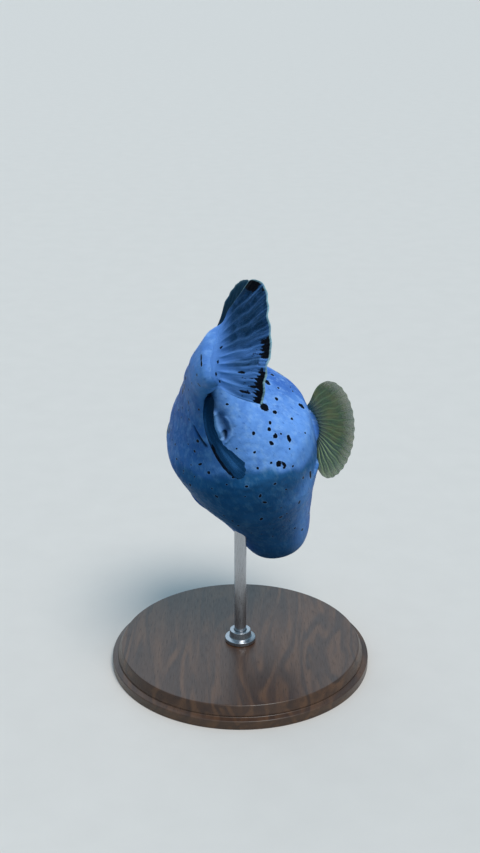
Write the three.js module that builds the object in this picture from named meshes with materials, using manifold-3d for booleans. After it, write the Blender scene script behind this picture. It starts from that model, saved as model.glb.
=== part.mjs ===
// Blackspotted puffer, Arothron nigropunctatus, as a still life-size model on a display stand.
// Millimetres, +Z up. The origin is the middle of the stand's underside. The fish stands on its
// head, nose down and pointing to +Y, with its tail curled to its right and towards its belly.
import * as THREE from 'three';
import { mergeVertices } from 'three/addons/utils/BufferGeometryUtils.js';
import Module from 'manifold-3d';

const wasm = await Module();
wasm.setup();

const { cos, sin, tan, abs, exp, sqrt, min, max, PI } = Math;
const rad = THREE.MathUtils.degToRad;
const lerp = THREE.MathUtils.lerp;

// ---- driving dimensions ----
const LENGTH = 200;             // snout to the root of the tail fin, along the fish's axis
const GAP = 0.3;                // clearance between touching pieces
const BEND = rad(43);           // how far the tail turns to the fish's right
const BEND_FROM = 0.77;         // where that turn starts, as a share of LENGTH
const FLEX = rad(32);           // how far the body curls towards the belly
const FLEX_FROM = 0.45;
const CURL_END = 1.02;          // both turns are complete here
const BOW = rad(-8);           // a slight turn of the trunk the other way
const POSE = { pitch: rad(-57.3), roll: rad(-34.8), yaw: rad(-30) };
const MIDDLE = 0.45;            // the axis point that the pose turns about
const MIDDLE_HEIGHT = 138;      // that point above the floor

// Where the body is divided, as shares of LENGTH.
const NECK = 0.3;
const TAIL_FROM = 0.76;
const TAIL_END = 1.035;

// The body's half width, and its height over and depth under the axis, as shares of LENGTH.
const STATIONS = [
  // t,    width, back,  belly
  [0.00, 0.068, 0.058, 0.070],
  [0.03, 0.093, 0.083, 0.096],
  [0.06, 0.104, 0.096, 0.106],
  [0.14, 0.121, 0.128, 0.122],
  [0.24, 0.147, 0.166, 0.150],
  [0.38, 0.188, 0.199, 0.192],
  [0.52, 0.204, 0.189, 0.208],
  [0.59, 0.176, 0.177, 0.189],
  [0.66, 0.132, 0.136, 0.166],
  [0.78, 0.069, 0.077, 0.103],
  [0.88, 0.040, 0.048, 0.063],
  [0.95, 0.036, 0.055, 0.064],
  [1.00, 0.035, 0.077, 0.069],
  [1.04, 0.013, 0.080, 0.068],
];
const SQUARENESS = 2.15;        // exponent of the body's cross-section, 2 for an ellipse

const EYE = { t: 0.185, angle: rad(50), radius: 6.8, depth: 2.6, bulge: 2.6, spread: 8.5 };
const MOUTH = { width: 8.4, height: 6.4, lip: 3.1, back: 0.006 };
const NOSTRIL = { t: 0.098, angle: rad(33), radius: 1.3, length: 3.4, fork: rad(24) };
const GILL = { t: [0.345, 0.382], angle: [rad(66), rad(122)], arc: 0.012, height: 1.4 };
const VENT = { t: 0.732, radius: 3 };

// Fins. A fan opens by spread or open. Its outer rays are shorter by round, and the very last by corner
// too. Sway turns its rays to the fish's right, from root to tip, and twist turns the first ray more than
// the last. A flare bows the tail fin's upper and lower rays outward.
const CAUDAL = { rays: 10, length: 54.5, spread: rad(40), drop: rad(2), twist: [4.5, -3], pleat: 0.4,
  root: 4.2, edge: 0.8, round: 0.17, corner: 0.17, top: 17, bottom: 14.3, flare: [2.4, 1.6] };
const MEDIAN_FINS = {
  dorsal: { t: [0.722, 0.806], side: 1, length: 43, lean: rad(38), open: rad(62), sway: [rad(73), rad(56)],
    twist: rad(17) },
  anal: { t: [0.806, 0.861], side: -1, length: 37.5, lean: rad(-14.8), open: rad(38.4),
    sway: [rad(-18.5), rad(5.3)], twist: rad(18.5) },
};
const MEDIAN = { rays: 9, root: 2.6, edge: 0.8, pleat: 0.3, hump: 4.5 };
const PECTORAL = { rays: 12, t: 0.42, angle: rad(79), base: 21.5, stub: 5.5, length: 26.5, tilt: rad(18),
  root: 2.4, edge: 0.8, pleat: 0.15, bow: 2, round: 0.08, corner: 0.12 };
const PECTORAL_SET = {
  right: { side: 1, open: rad(126), sweep: rad(42), drop: rad(46), hug: 0, share: 1 },
  left: { side: -1, open: rad(52), sweep: rad(72), drop: rad(-66), hug: 6, share: 0.85 }, // on the flank
};

// The stand's base has an upright edge, a ledge inside it and a sloped top rim. Its collar is alike.
const STAND = { radius: 76, height: 12, chamfer: 1, edge: 5.2, ledge: 3.2, fall: 0.7, riser: 1, slope: 2.4,
  rod: 3.5, socket: 14, collar: 9, collarHeight: 7, collarEdge: 2.2, collarLedge: 2.4, collarSlope: 0.5 };
const ROD_FOOT = { t: 0.2, angle: rad(180 + 42) };   // where the rod enters the throat

// ---- the fish's axis and surface ----
const STEPS = 520;
const AXIS_LENGTH = 1.3;
const smooth = (a, b, x) => {
  const s = min(max((x - a) / (b - a), 0), 1);
  return s * s * (3 - 2 * s);
};

// Which way the axis runs at t: turned to the right by turn and lifted by rise.
const turnAt = (t) => BEND * smooth(BEND_FROM, CURL_END, t) + BOW * (smooth(0, 0.75, t) - 0.6);
const riseAt = (t) => -FLEX * smooth(FLEX_FROM, CURL_END, t);
function tailward(t) {
  const turn = turnAt(t);
  const rise = riseAt(t);
  return new THREE.Vector3(sin(turn) * cos(rise), -cos(turn) * cos(rise), sin(rise));
}

// The axis is the sum of its short steps, and its point at MIDDLE is the fish's own origin.
const axisPoints = (() => {
  const step = AXIS_LENGTH / STEPS;
  const points = [new THREE.Vector3()];
  for (let i = 0; i < STEPS; i++) {
    points.push(tailward((i + 0.5) * step).multiplyScalar(step * LENGTH).add(points[i]));
  }
  return points;
})();
function axisAt(t) {
  const x = min(max(t / AXIS_LENGTH * STEPS, 0), STEPS - 1e-6);
  const i = Math.floor(x);
  return axisPoints[i].clone().lerp(axisPoints[i + 1], x - i);
}
const middlePoint = axisAt(MIDDLE);

// Position, tailward, right and up directions of the fish at t.
function frameAt(t) {
  const back = tailward(t);
  const right = new THREE.Vector3(cos(turnAt(t)), sin(turnAt(t)), 0);
  const up = right.clone().cross(back).negate();
  const start = axisAt(max(t, 0)).sub(middlePoint);
  if (t < 0) start.addScaledVector(back, t * LENGTH);
  return { point: start, back, right, up };
}

// Smooth curve through one column of STATIONS that never overshoots them.
function stationCurve(column) {
  const xs = STATIONS.map((s) => s[0]);
  const ys = STATIONS.map((s) => s[column]);
  const slope = (i) => (ys[i + 1] - ys[i]) / (xs[i + 1] - xs[i]);
  const last = xs.length - 1;
  const tangents = xs.map((x, i) => {
    if (i === 0) return slope(0);
    if (i === last) return slope(last - 1);
    const [before, after] = [slope(i - 1), slope(i)];
    if (before * after <= 0) return 0;
    const [h0, h1] = [xs[i] - xs[i - 1], xs[i + 1] - xs[i]];
    const [w0, w1] = [2 * h1 + h0, h1 + 2 * h0];
    return (w0 + w1) / (w0 / before + w1 / after);
  });
  return (t) => {
    const x = min(max(t, xs[0]), xs[last]);
    let i = 0;
    while (i < last - 1 && x > xs[i + 1]) i++;
    const h = xs[i + 1] - xs[i];
    const s = (x - xs[i]) / h;
    const [s2, s3] = [s * s, s * s * s];
    return (2 * s3 - 3 * s2 + 1) * ys[i] + (s3 - 2 * s2 + s) * h * tangents[i]
      + (3 * s2 - 2 * s3) * ys[i + 1] + (s3 - s2) * h * tangents[i + 1];
  };
}
const halfWidth = stationCurve(1);
const backHeight = stationCurve(2);
const bellyDepth = stationCurve(3);

// A point on the smooth body. angle runs from the back's midline towards the fish's right.
function smoothPoint(t, angle, grow = 0) {
  const { point, right, up } = frameAt(t);
  const [c, s] = [cos(angle), sin(angle)];
  const r = (abs(c) ** SQUARENESS + abs(s) ** SQUARENESS) ** (-1 / SQUARENESS);
  const tall = (c > 0 ? backHeight(t) : bellyDepth(t)) * LENGTH + grow;
  const wide = halfWidth(t) * LENGTH + grow;
  return point.addScaledVector(right, r * s * wide).addScaledVector(up, r * c * tall);
}
function outwardAt(t, angle) {
  const d = 0.004;
  const along = smoothPoint(t + d, angle).sub(smoothPoint(t - d, angle));
  const around = smoothPoint(t, angle + d).sub(smoothPoint(t, angle - d));
  return along.cross(around).normalize();
}

// The body with its eye bulges. side is 1 for the fish's right and -1 for its left.
const eyeSeat = (side) => smoothPoint(EYE.t, side * EYE.angle);
const eyeSeats = [eyeSeat(1), eyeSeat(-1)];
function bodyPoint(t, angle, grow = 0) {
  const p = smoothPoint(t, angle, grow);
  const near = min(...eyeSeats.map((seat) => seat.distanceTo(p)));
  const swell = EYE.bulge * exp(-((near / EYE.spread) ** 2));
  return swell > 0.01 ? p.addScaledVector(outwardAt(t, angle), swell) : p;
}

// ---- closed meshes ----
function geometryOf(positions, faces) {
  const g = new THREE.BufferGeometry();
  g.setAttribute('position', new THREE.Float32BufferAttribute(positions.flatMap((p) => p.toArray()), 3));
  g.setIndex(faces);
  return g;
}

// A closed body through rings of points, with a flat fan over each end.
function loft(rings) {
  const n = rings[0].length;
  const centre = (ring) => ring.reduce((sum, p) => sum.add(p), new THREE.Vector3()).divideScalar(n);
  const points = [centre(rings[0]), ...rings.flat(), centre(rings.at(-1))];
  const faces = [];
  for (let j = 0; j < n; j++) {
    const k = (j + 1) % n;
    faces.push(0, 1 + k, 1 + j);
    for (let i = 0; i < rings.length - 1; i++) {
      const [a, b] = [1 + i * n, 1 + (i + 1) * n];
      faces.push(a + j, a + k, b + k, a + j, b + k, b + j);
    }
    const end = 1 + (rings.length - 1) * n;
    faces.push(end + j, end + k, points.length - 1);
  }
  return geometryOf(points, faces);
}

const BODY_SIDES = 30;
function bodyBetween(t0, t1, count, grow = 0) {
  const rings = [];
  for (let i = 0; i <= count; i++) {
    const t = lerp(t0, t1, i / count);
    rings.push(Array.from({ length: BODY_SIDES }, (_, j) => bodyPoint(t, -2 * PI * j / BODY_SIDES, grow)));
  }
  return loft(rings);
}

// A thin closed shell between two sheets of points, front(u, v) and behind(u, v).
function shell(across, along, front, behind) {
  const sheets = [front, behind].map((sheet) => {
    const points = [];
    for (let i = 0; i <= across; i++) {
      for (let j = 0; j <= along; j++) points.push(sheet(i / across, j / along));
    }
    return points;
  });
  const row = along + 1;
  const count = sheets[0].length;
  const faces = [];
  const quad = (a, b, c, d) => faces.push(a, b, c, a, c, d);
  for (let i = 0; i < across; i++) {
    const [root, nextRoot] = [i * row, (i + 1) * row];
    for (let j = 0; j < along; j++) {
      const [a, b, c, d] = [root + j, nextRoot + j, nextRoot + j + 1, root + j + 1];
      quad(a, b, c, d);
      quad(count + a, count + d, count + c, count + b);
    }
    quad(root, count + root, count + nextRoot, nextRoot);
    quad(root + along, nextRoot + along, count + nextRoot + along, count + root + along);
  }
  const last = across * row;
  for (let j = 0; j < along; j++) {
    quad(j, j + 1, count + j + 1, count + j);
    quad(last + j, count + last + j, count + last + j + 1, last + j + 1);
  }
  return geometryOf([...sheets[0], ...sheets[1]], faces);
}

// A fin's blade about its middle surface(u, v): u runs over the rays and v out along them.
function blade(across, along, surface, thick) {
  const normal = (u, v) => {
    const d = 0.01;
    const du = surface(min(u + d, 1), v).sub(surface(max(u - d, 0), v));
    const dv = surface(u, min(v + d, 1)).sub(surface(u, max(v - d, 0)));
    return du.cross(dv).normalize();
  };
  const sheet = (half) => (u, v) => surface(u, v).addScaledVector(normal(u, v), half * thick(u, v));
  return shell(across, along, sheet(0.5), sheet(-0.5));
}

// ---- solids for cutting and joining ----
function solid(geometry) {
  let g = geometry.index ? geometry.toNonIndexed() : geometry.clone();
  g.deleteAttribute('normal');
  g.deleteAttribute('uv');
  g = mergeVertices(g, 1e-4);
  const made = new wasm.Manifold(new wasm.Mesh({
    numProp: 3,
    vertProperties: g.attributes.position.array,
    triVerts: new Uint32Array(g.index.array),
  }));
  if (made.volume() > 0) return made;
  const flipped = new Uint32Array(g.index.array);
  for (let i = 1; i < flipped.length; i += 3) {
    [flipped[i], flipped[i + 1]] = [flipped[i + 1], flipped[i]];
  }
  return new wasm.Manifold(new wasm.Mesh({
    numProp: 3, vertProperties: g.attributes.position.array, triVerts: flipped,
  }));
}
function geometryFrom(manifold) {
  const whole = manifold.decompose().sort((a, b) => b.volume() - a.volume())[0];
  const m = whole.getMesh();
  const points = new Float32Array(m.numVert * 3);
  for (let i = 0; i < m.numVert; i++) {
    points.set(m.vertProperties.subarray(i * m.numProp, i * m.numProp + 3), i * 3);
  }
  const g = new THREE.BufferGeometry();
  g.setAttribute('position', new THREE.BufferAttribute(points, 3));
  g.setIndex(Array.from(m.triVerts));
  return g;
}
// A shape placed by a frame: its own X, Y and Z along the three given directions.
function placed(geometry, x, y, z, point) {
  return geometry.applyMatrix4(new THREE.Matrix4().makeBasis(x, y, z).setPosition(point));
}
function ball(radii, x, y, z, point, across = 20, down = 14) {
  return placed(new THREE.SphereGeometry(1, across, down).scale(...radii), x, y, z, point);
}

// ---- the fish ----
const fish = new THREE.Group();
fish.rotation.set(POSE.pitch, POSE.roll, POSE.yaw, 'ZXY');
const finish = {
  skin: new THREE.MeshStandardMaterial({ color: 0x4f78cf, roughness: 0.5 }),
  lip: new THREE.MeshStandardMaterial({ color: 0x1b2742, roughness: 0.5 }),
  fin: new THREE.MeshStandardMaterial({ color: 0x27447f, roughness: 0.5 }),
  clearFin: new THREE.MeshStandardMaterial({ color: 0x7d8660, roughness: 0.45 }),
  eye: new THREE.MeshStandardMaterial({ color: 0x0b0d12, roughness: 0.08 }),
  tooth: new THREE.MeshStandardMaterial({ color: 0xe9e2cf, roughness: 0.3 }),
  base: new THREE.MeshStandardMaterial({ color: 0x3a2a20, roughness: 0.45 }),
  steel: new THREE.MeshStandardMaterial({ color: 0xb8bcc0, roughness: 0.3, metalness: 1 }),
};
function add(group, name, geometry, material) {
  const mesh = new THREE.Mesh(geometry, material);
  mesh.name = name;
  group.add(mesh);
}

const grownBody = solid(bodyBetween(-0.01, TAIL_END, 44, GAP));
const SIDES = { right: 1, left: -1 };

// Rod and base are made in the part's own frame, so the rod is turned back into the fish's to cut it.
fish.updateMatrixWorld(true);
const rodFoot = bodyPoint(ROD_FOOT.t, ROD_FOOT.angle);
const footInPart = rodFoot.clone().applyMatrix4(fish.matrixWorld);
fish.position.set(-footInPart.x, -footInPart.y, MIDDLE_HEIGHT);
fish.updateMatrixWorld(true);
const rodTop = MIDDLE_HEIGHT + footInPart.z + STAND.socket;
const rodGeometry = (radius, z0, z1) => new THREE.CylinderGeometry(radius, radius, z1 - z0, 20)
  .rotateX(PI / 2).translate(0, 0, (z0 + z1) / 2);
const rodHole = solid(rodGeometry(STAND.rod + GAP, STAND.height, rodTop + GAP)
  .applyMatrix4(fish.matrixWorld.clone().invert()));

// Eyes: balls seated in sockets of their own size.
const eyeBall = (side, grow) => {
  const centre = eyeSeat(side).addScaledVector(outwardAt(EYE.t, side * EYE.angle), -EYE.depth);
  return new THREE.SphereGeometry(EYE.radius + grow, 16, 10).translate(...centre.toArray());
};

let head = solid(bodyBetween(MOUTH.back, NECK, 15)).subtract(rodHole);
for (const side of Object.values(SIDES)) head = head.subtract(solid(eyeBall(side, GAP)));
add(fish, 'head', geometryFrom(head), finish.skin);
for (const [name, side] of Object.entries(SIDES)) add(fish, `eye_${name}`, eyeBall(side, 0), finish.eye);

const gapShare = GAP / LENGTH;
add(fish, 'trunk', bodyBetween(NECK + gapShare, TAIL_FROM, 15), finish.skin);
add(fish, 'tail_stalk', bodyBetween(TAIL_FROM + gapShare, TAIL_END, 12), finish.skin);

// Mouth: an oval ring of two lips round a beak of an upper and a lower plate.
const mouth = frameAt(0);
const noseward = mouth.back.clone().negate();
function lip(name, from, to) {
  const rings = [];
  const count = 8;
  for (let i = 0; i <= count; i++) {
    const a = lerp(from, to, i / count);
    const out = new THREE.Vector3(cos(a) * MOUTH.height, sin(a) * MOUTH.width, 0).normalize();
    const path = mouth.point.clone().addScaledVector(mouth.right, cos(a) * MOUTH.width)
      .addScaledVector(mouth.up, sin(a) * MOUTH.height);
    const outward = mouth.right.clone().multiplyScalar(out.x).addScaledVector(mouth.up, out.y);
    rings.push(Array.from({ length: 8 }, (_, j) => {
      const b = 2 * PI * j / 8;
      return path.clone().addScaledVector(outward, cos(b) * MOUTH.lip)
        .addScaledVector(noseward, sin(b) * MOUTH.lip * 0.85);
    }));
  }
  const whole = solid(loft(rings)).subtract(solid(bodyBetween(MOUTH.back - gapShare, 0.2, 12, 0)));
  add(fish, name, geometryFrom(whole), finish.lip);
}
const CORNER = rad(3);
lip('lip_upper', CORNER, PI - CORNER);
lip('lip_lower', PI + CORNER, 2 * PI - CORNER);

function beakPlate(name, side) {
  const inner = MOUTH.width - MOUTH.lip - GAP;
  const tall = MOUTH.height - MOUTH.lip - GAP;
  const shape = new THREE.Shape();
  shape.absellipse(0, 0.35, inner, tall - 0.35, 0, PI, false);
  shape.closePath();
  const geometry = new THREE.ExtrudeGeometry(shape, { depth: 2.6, bevelEnabled: true, bevelSize: 0.25,
    bevelThickness: 0.6, bevelOffset: -0.25, bevelSegments: 1, curveSegments: 8 });
  const back = mouth.point.clone().addScaledVector(noseward, -MOUTH.back * LENGTH + GAP + 0.6);
  const [across, high] = [mouth.right.clone().multiplyScalar(-side), mouth.up.clone().multiplyScalar(side)];
  placed(geometry, across, high, noseward, back);
  add(fish, name, geometry, finish.tooth);
}
beakPlate('beak_upper', 1);
beakPlate('beak_lower', -1);

// Nostrils: a forked fleshy flap on each side of the snout.
for (const [name, side] of Object.entries(SIDES)) {
  const seat = bodyPoint(NOSTRIL.t, side * NOSTRIL.angle);
  const out = outwardAt(NOSTRIL.t, side * NOSTRIL.angle);
  const along = frameAt(NOSTRIL.t).back;
  const across = out.clone().cross(along).normalize();
  const forward = across.clone().cross(out);
  const tine = (turn) => {
    const z = out.clone().multiplyScalar(cos(turn)).addScaledVector(forward, sin(turn));
    const x = across.clone();
    const radii = [NOSTRIL.radius, NOSTRIL.radius * 0.75, NOSTRIL.length];
    return solid(ball(radii, x, z.clone().cross(x), z, seat, 8, 6));
  };
  const flap = tine(NOSTRIL.fork).add(tine(-NOSTRIL.fork)).subtract(grownBody);
  add(fish, `nostril_${name}`, geometryFrom(flap), finish.skin);
}

// Gill covers: a low crescent just ahead of each side fin.
for (const [name, side] of Object.entries(SIDES)) {
  const place = (u, v) => [lerp(...GILL.t, v) - GILL.arc * (2 * u - 1) ** 2, side * lerp(...GILL.angle, u)];
  const height = (u, v) => 0.25 + GILL.height * sqrt(sin(PI * u)) * sin(PI * lerp(0.02, 0.85, v));
  const under = (u, v) => bodyPoint(...place(u, v), GAP);
  const over = (u, v) => under(u, v).addScaledVector(outwardAt(...place(u, v)), height(u, v));
  const sheets = side > 0 ? [under, over] : [over, under];
  add(fish, `gill_cover_${name}`, shell(8, 4, ...sheets), finish.skin);
}

// Vent: a soft knob ahead of the anal fin.
const ventKnob = (grow) => {
  const { back, right } = frameAt(VENT.t);
  const radii = [VENT.radius, VENT.radius * 1.5, VENT.radius * 0.8].map((r) => r + grow);
  return solid(ball(radii, right, back, right.clone().cross(back), bodyPoint(VENT.t, PI, 0.6), 12, 8));
};
add(fish, 'vent', geometryFrom(ventKnob(0).subtract(grownBody)), finish.lip);

// A fan of rays: u runs over the rays, v out along them. Pleats fold it a little at each ray.
const pleatAt = (u, v, rays, depth) => depth * v * cos(PI * u * 2 * (rays - 1));
const finThickness = (fin) => (u, v) => lerp(fin.root, fin.edge, min(1, v * 1.6) ** 0.7);

// Tail fin: a fan from the end of the stalk.
{
  const end = frameAt(TAIL_END);
  const surface = (u, v) => {
    const k = 2 * u - 1;
    const a = k * CAUDAL.spread / 2 - CAUDAL.drop;
    const reach = CAUDAL.length * (1 - CAUDAL.round * k * k - CAUDAL.corner * max(k, 0) ** 6) * v;
    const root = k * (k > 0 ? CAUDAL.top : CAUDAL.bottom);
    const flare = k * abs(k) * CAUDAL.flare[k > 0 ? 0 : 1] * sin(PI * v);
    const twist = lerp(...CAUDAL.twist, u) * v * v;
    return end.point.clone().addScaledVector(end.back, GAP + reach * cos(a))
      .addScaledVector(end.up, root + flare + reach * sin(a))
      .addScaledVector(end.right, twist + pleatAt(u, v, CAUDAL.rays, CAUDAL.pleat));
  };
  add(fish, 'caudal_fin', blade((CAUDAL.rays - 1) * 2, 5, surface, finThickness(CAUDAL)), finish.fin);
}

// Dorsal and anal fins: a round fan on a fleshy hump.
for (const [name, fin] of Object.entries(MEDIAN_FINS)) {
  const angle = fin.side > 0 ? 0 : PI;
  const [t0, t1] = fin.t;
  const mid = frameAt((t0 + t1) / 2);
  const seat = bodyPoint((t0 + t1) / 2, angle);
  const away = mid.up.clone().multiplyScalar(fin.side);
  const long = (t1 - t0) * LENGTH / 2;
  const hump = (grow) => solid(ball([MEDIAN.root * 1.15 + grow, long * 1.15 + grow, MEDIAN.hump + grow],
    mid.right, away.clone().cross(mid.right), away, seat, 12, 8));
  add(fish, `${name}_fin_base`, geometryFrom(hump(0).subtract(grownBody)), finish.skin);

  const surface = (u, v) => {
    const t = lerp(t0, t1, u);
    const lean = fin.lean + (u - 0.5) * fin.open;
    const reach = MEDIAN.hump * 0.5 + fin.length * (0.72 + 0.28 * sin(PI * min(1, u * 0.85 + 0.12))) * v;
    const sway = lerp(...fin.sway, v) + fin.twist * (0.5 - u);
    return bodyPoint(t, angle).addScaledVector(away, reach * cos(lean) * cos(sway))
      .addScaledVector(mid.back, reach * sin(lean))
      .addScaledVector(mid.right, reach * sin(sway) + pleatAt(u, v, MEDIAN.rays, MEDIAN.pleat));
  };
  const fan = solid(blade((MEDIAN.rays - 1) * 2, 4, surface, finThickness(MEDIAN)));
  const cut = fan.subtract(hump(GAP)).subtract(grownBody).subtract(ventKnob(GAP));
  add(fish, `${name}_fin`, geometryFrom(cut), finish.fin);
}

// Side fins: a wide fan on a short stub behind each gill cover.
for (const [name, { side, open, sweep, drop, hug, share }] of Object.entries(PECTORAL_SET)) {
  const angle = side * PECTORAL.angle;
  const seat = bodyPoint(PECTORAL.t, angle);
  const out = outwardAt(PECTORAL.t, angle);
  const { back, up } = frameAt(PECTORAL.t);
  const high = up.clone().addScaledVector(back, tan(PECTORAL.tilt));
  high.addScaledVector(out, -up.dot(out)).normalize();
  const behind = out.clone().cross(high).multiplyScalar(side).normalize();
  const reachOut = out.clone().multiplyScalar(cos(sweep)).addScaledVector(behind, sin(sweep));
  const depth = high.clone().cross(reachOut);
  const stub = (grow) => {
    const radii = [PECTORAL.root + 0.8 + grow, PECTORAL.base / 2 + grow, PECTORAL.stub + grow];
    return solid(ball(radii, depth, high, depth.clone().cross(high), seat, 12, 8));
  };
  add(fish, `pectoral_base_${name}`, geometryFrom(stub(0).subtract(grownBody)), finish.skin);

  const surface = (u, v) => {
    const k = 2 * u - 1;
    const a = k * open / 2 + drop;
    const rounding = PECTORAL.round * k * k + PECTORAL.corner * k ** 6;
    const reach = PECTORAL.stub * 0.55 + PECTORAL.length * share * (1 - rounding) * v;
    const bow = side * PECTORAL.bow * sin(PI * v / 2) * (1 - k * k) + hug * v * v;
    return seat.clone().addScaledVector(high, -k * (PECTORAL.base / 2 - 1.5) - reach * sin(a))
      .addScaledVector(reachOut, reach * cos(a))
      .addScaledVector(depth, bow + pleatAt(u, v, PECTORAL.rays, PECTORAL.pleat));
  };
  const fan = solid(blade((PECTORAL.rays - 1) * 2, 4, surface, finThickness(PECTORAL)));
  const clear = fan.subtract(stub(GAP)).subtract(grownBody);
  add(fish, `pectoral_fin_${name}`, geometryFrom(clear), finish.clearFin);
}

// ---- the stand ----
const stand = new THREE.Group();
const turned = (profile) => {
  const points = profile.map(([radius, z]) => new THREE.Vector2(radius, z));
  return new THREE.LatheGeometry(points, 32).rotateX(PI / 2);
};
const shoulder = STAND.radius - STAND.ledge;
const shoulderFoot = STAND.edge + STAND.fall;
add(stand, 'stand_base', turned([
  [0, 0], [STAND.radius - STAND.chamfer, 0], [STAND.radius, STAND.chamfer], [STAND.radius, STAND.edge],
  [shoulder, shoulderFoot], [shoulder, shoulderFoot + STAND.riser], [shoulder - STAND.slope, STAND.height],
  [0, STAND.height],
]), finish.base);
add(stand, 'stand_rod', rodGeometry(STAND.rod, STAND.height + GAP, rodTop), finish.steel);
const [bore, collarFoot] = [STAND.rod + GAP, STAND.height + GAP];
const collarTop = collarFoot + STAND.collarHeight;
const neck = STAND.collar - STAND.collarLedge;
const neckFoot = collarFoot + STAND.collarEdge + STAND.collarSlope;
add(stand, 'stand_collar', turned([
  [bore, collarFoot], [STAND.collar, collarFoot], [STAND.collar, collarFoot + STAND.collarEdge],
  [neck, neckFoot], [neck - STAND.collarSlope, collarTop], [bore, collarTop], [bore, collarFoot],
]), finish.steel);

const part = new THREE.Group();
part.add(fish, stand);
export default part;
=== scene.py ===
"""A blackspotted puffer on a display stand: its skin, fins, eyes, mouth and stand, and a plain studio.

Lengths are metres. The fish's axis and surface repeat the functions that its solids are made from, so each
piece lies where its solids are. Fish space has +Y along the snout at the axis's start; place() turns it
into the row frame.
"""
from math import cos, pi, radians, sin, tan

import bpy
import numpy as np
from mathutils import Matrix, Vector


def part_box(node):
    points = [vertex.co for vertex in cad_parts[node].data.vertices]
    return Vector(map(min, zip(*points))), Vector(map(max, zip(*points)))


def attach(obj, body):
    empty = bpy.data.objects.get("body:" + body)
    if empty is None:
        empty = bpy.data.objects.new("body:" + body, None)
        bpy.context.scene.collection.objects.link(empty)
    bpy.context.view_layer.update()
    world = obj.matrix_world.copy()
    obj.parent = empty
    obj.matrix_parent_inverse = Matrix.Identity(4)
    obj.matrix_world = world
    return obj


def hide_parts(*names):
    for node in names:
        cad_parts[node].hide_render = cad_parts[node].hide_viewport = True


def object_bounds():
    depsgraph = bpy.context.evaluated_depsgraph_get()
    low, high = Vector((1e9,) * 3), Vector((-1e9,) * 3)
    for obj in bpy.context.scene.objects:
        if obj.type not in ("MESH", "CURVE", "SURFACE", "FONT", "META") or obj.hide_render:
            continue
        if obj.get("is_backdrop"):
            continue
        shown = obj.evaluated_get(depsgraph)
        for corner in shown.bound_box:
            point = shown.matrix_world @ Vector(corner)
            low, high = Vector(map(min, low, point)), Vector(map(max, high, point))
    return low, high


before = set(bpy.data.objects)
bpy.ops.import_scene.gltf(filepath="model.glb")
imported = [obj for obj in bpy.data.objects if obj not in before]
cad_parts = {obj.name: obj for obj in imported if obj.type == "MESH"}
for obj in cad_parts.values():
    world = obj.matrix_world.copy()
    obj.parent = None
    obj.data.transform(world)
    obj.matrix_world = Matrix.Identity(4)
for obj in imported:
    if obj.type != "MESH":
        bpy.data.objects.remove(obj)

cad_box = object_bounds()
MM = 0.001

# ---- the dimensions: the solids' own, but for the fins' finer rays, edges, corners and hollows ----
LENGTH = 200 * MM
BEND, BEND_FROM = radians(43), 0.77
FLEX, FLEX_FROM = radians(32), 0.45
CURL_END = 1.02
BOW = radians(-8)
PITCH, ROLL, YAW = radians(-57.3), radians(-34.8), radians(-30)
MIDDLE, MIDDLE_HEIGHT = 0.45, 138 * MM
TAIL_END = 1.035
STATIONS = np.array([
    # t,   width, back,  belly
    (0.00, 0.068, 0.058, 0.070),
    (0.03, 0.093, 0.083, 0.096),
    (0.06, 0.104, 0.096, 0.106),
    (0.14, 0.121, 0.128, 0.122),
    (0.24, 0.147, 0.166, 0.150),
    (0.38, 0.188, 0.199, 0.192),
    (0.52, 0.204, 0.189, 0.208),
    (0.59, 0.176, 0.177, 0.189),
    (0.66, 0.132, 0.136, 0.166),
    (0.78, 0.069, 0.077, 0.103),
    (0.88, 0.040, 0.048, 0.063),
    (0.95, 0.036, 0.055, 0.064),
    (1.00, 0.035, 0.077, 0.069),
    (1.04, 0.013, 0.080, 0.068),
])
SQUARENESS = 2.15
SIDES = {"right": 1, "left": -1}
EYE = dict(t=0.185, angle=radians(50), radius=6.8 * MM, depth=2.6 * MM, bulge=2.6 * MM, spread=8.5 * MM)
NOSTRIL = dict(t=0.098, angle=radians(33), radius=1.3 * MM, length=3.2 * MM, fork=radians(24))
GILL = dict(t=(0.345, 0.382), angle=(radians(66), radians(122)), arc=0.012, height=1.4 * MM)
CAUDAL = dict(rays=10, length=54.5 * MM, spread=radians(40), drop=radians(2), twist=(4.5 * MM, -3 * MM),
              pleat=0.4 * MM, root=4.2 * MM, edge=0.8 * MM, round=0.17, corner=0.17,
              flare=(2.4 * MM, 1.6 * MM), top=17 * MM, bottom=14.3 * MM, gap=0.3 * MM, seam=2.7 * MM)
MEDIAN_FINS = {
    "dorsal": dict(t=(0.722, 0.806), side=1, length=43 * MM, lean=radians(38), open=radians(62),
                   sway=(radians(73), radians(56)), twist=radians(17), hollow=0),
    "anal": dict(t=(0.806, 0.861), side=-1, length=37.5 * MM, lean=radians(-14.8), open=radians(38.4),
                 sway=(radians(-18.5), radians(5.3)), twist=radians(18.5), hollow=0.36),
}
MEDIAN = dict(rays=11, root=2.6 * MM, edge=0.8 * MM, pleat=0.3 * MM, hump=4.5 * MM)
PECTORAL = dict(rays=17, t=0.42, angle=radians(79), base=21.5 * MM, stub=5.5 * MM, length=26.5 * MM,
                tilt=radians(18), root=2.4 * MM, edge=0.45 * MM, pleat=0.15 * MM, bow=2 * MM, round=0.08,
                corner=0.204, curve=radians(12))
PECTORAL_SET = {
    "right": dict(side=1, open=radians(126), sweep=radians(42), drop=radians(46), hug=0, share=1),
    "left": dict(side=-1, open=radians(52), sweep=radians(72), drop=radians(-66), hug=6 * MM, share=0.85),
}
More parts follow.
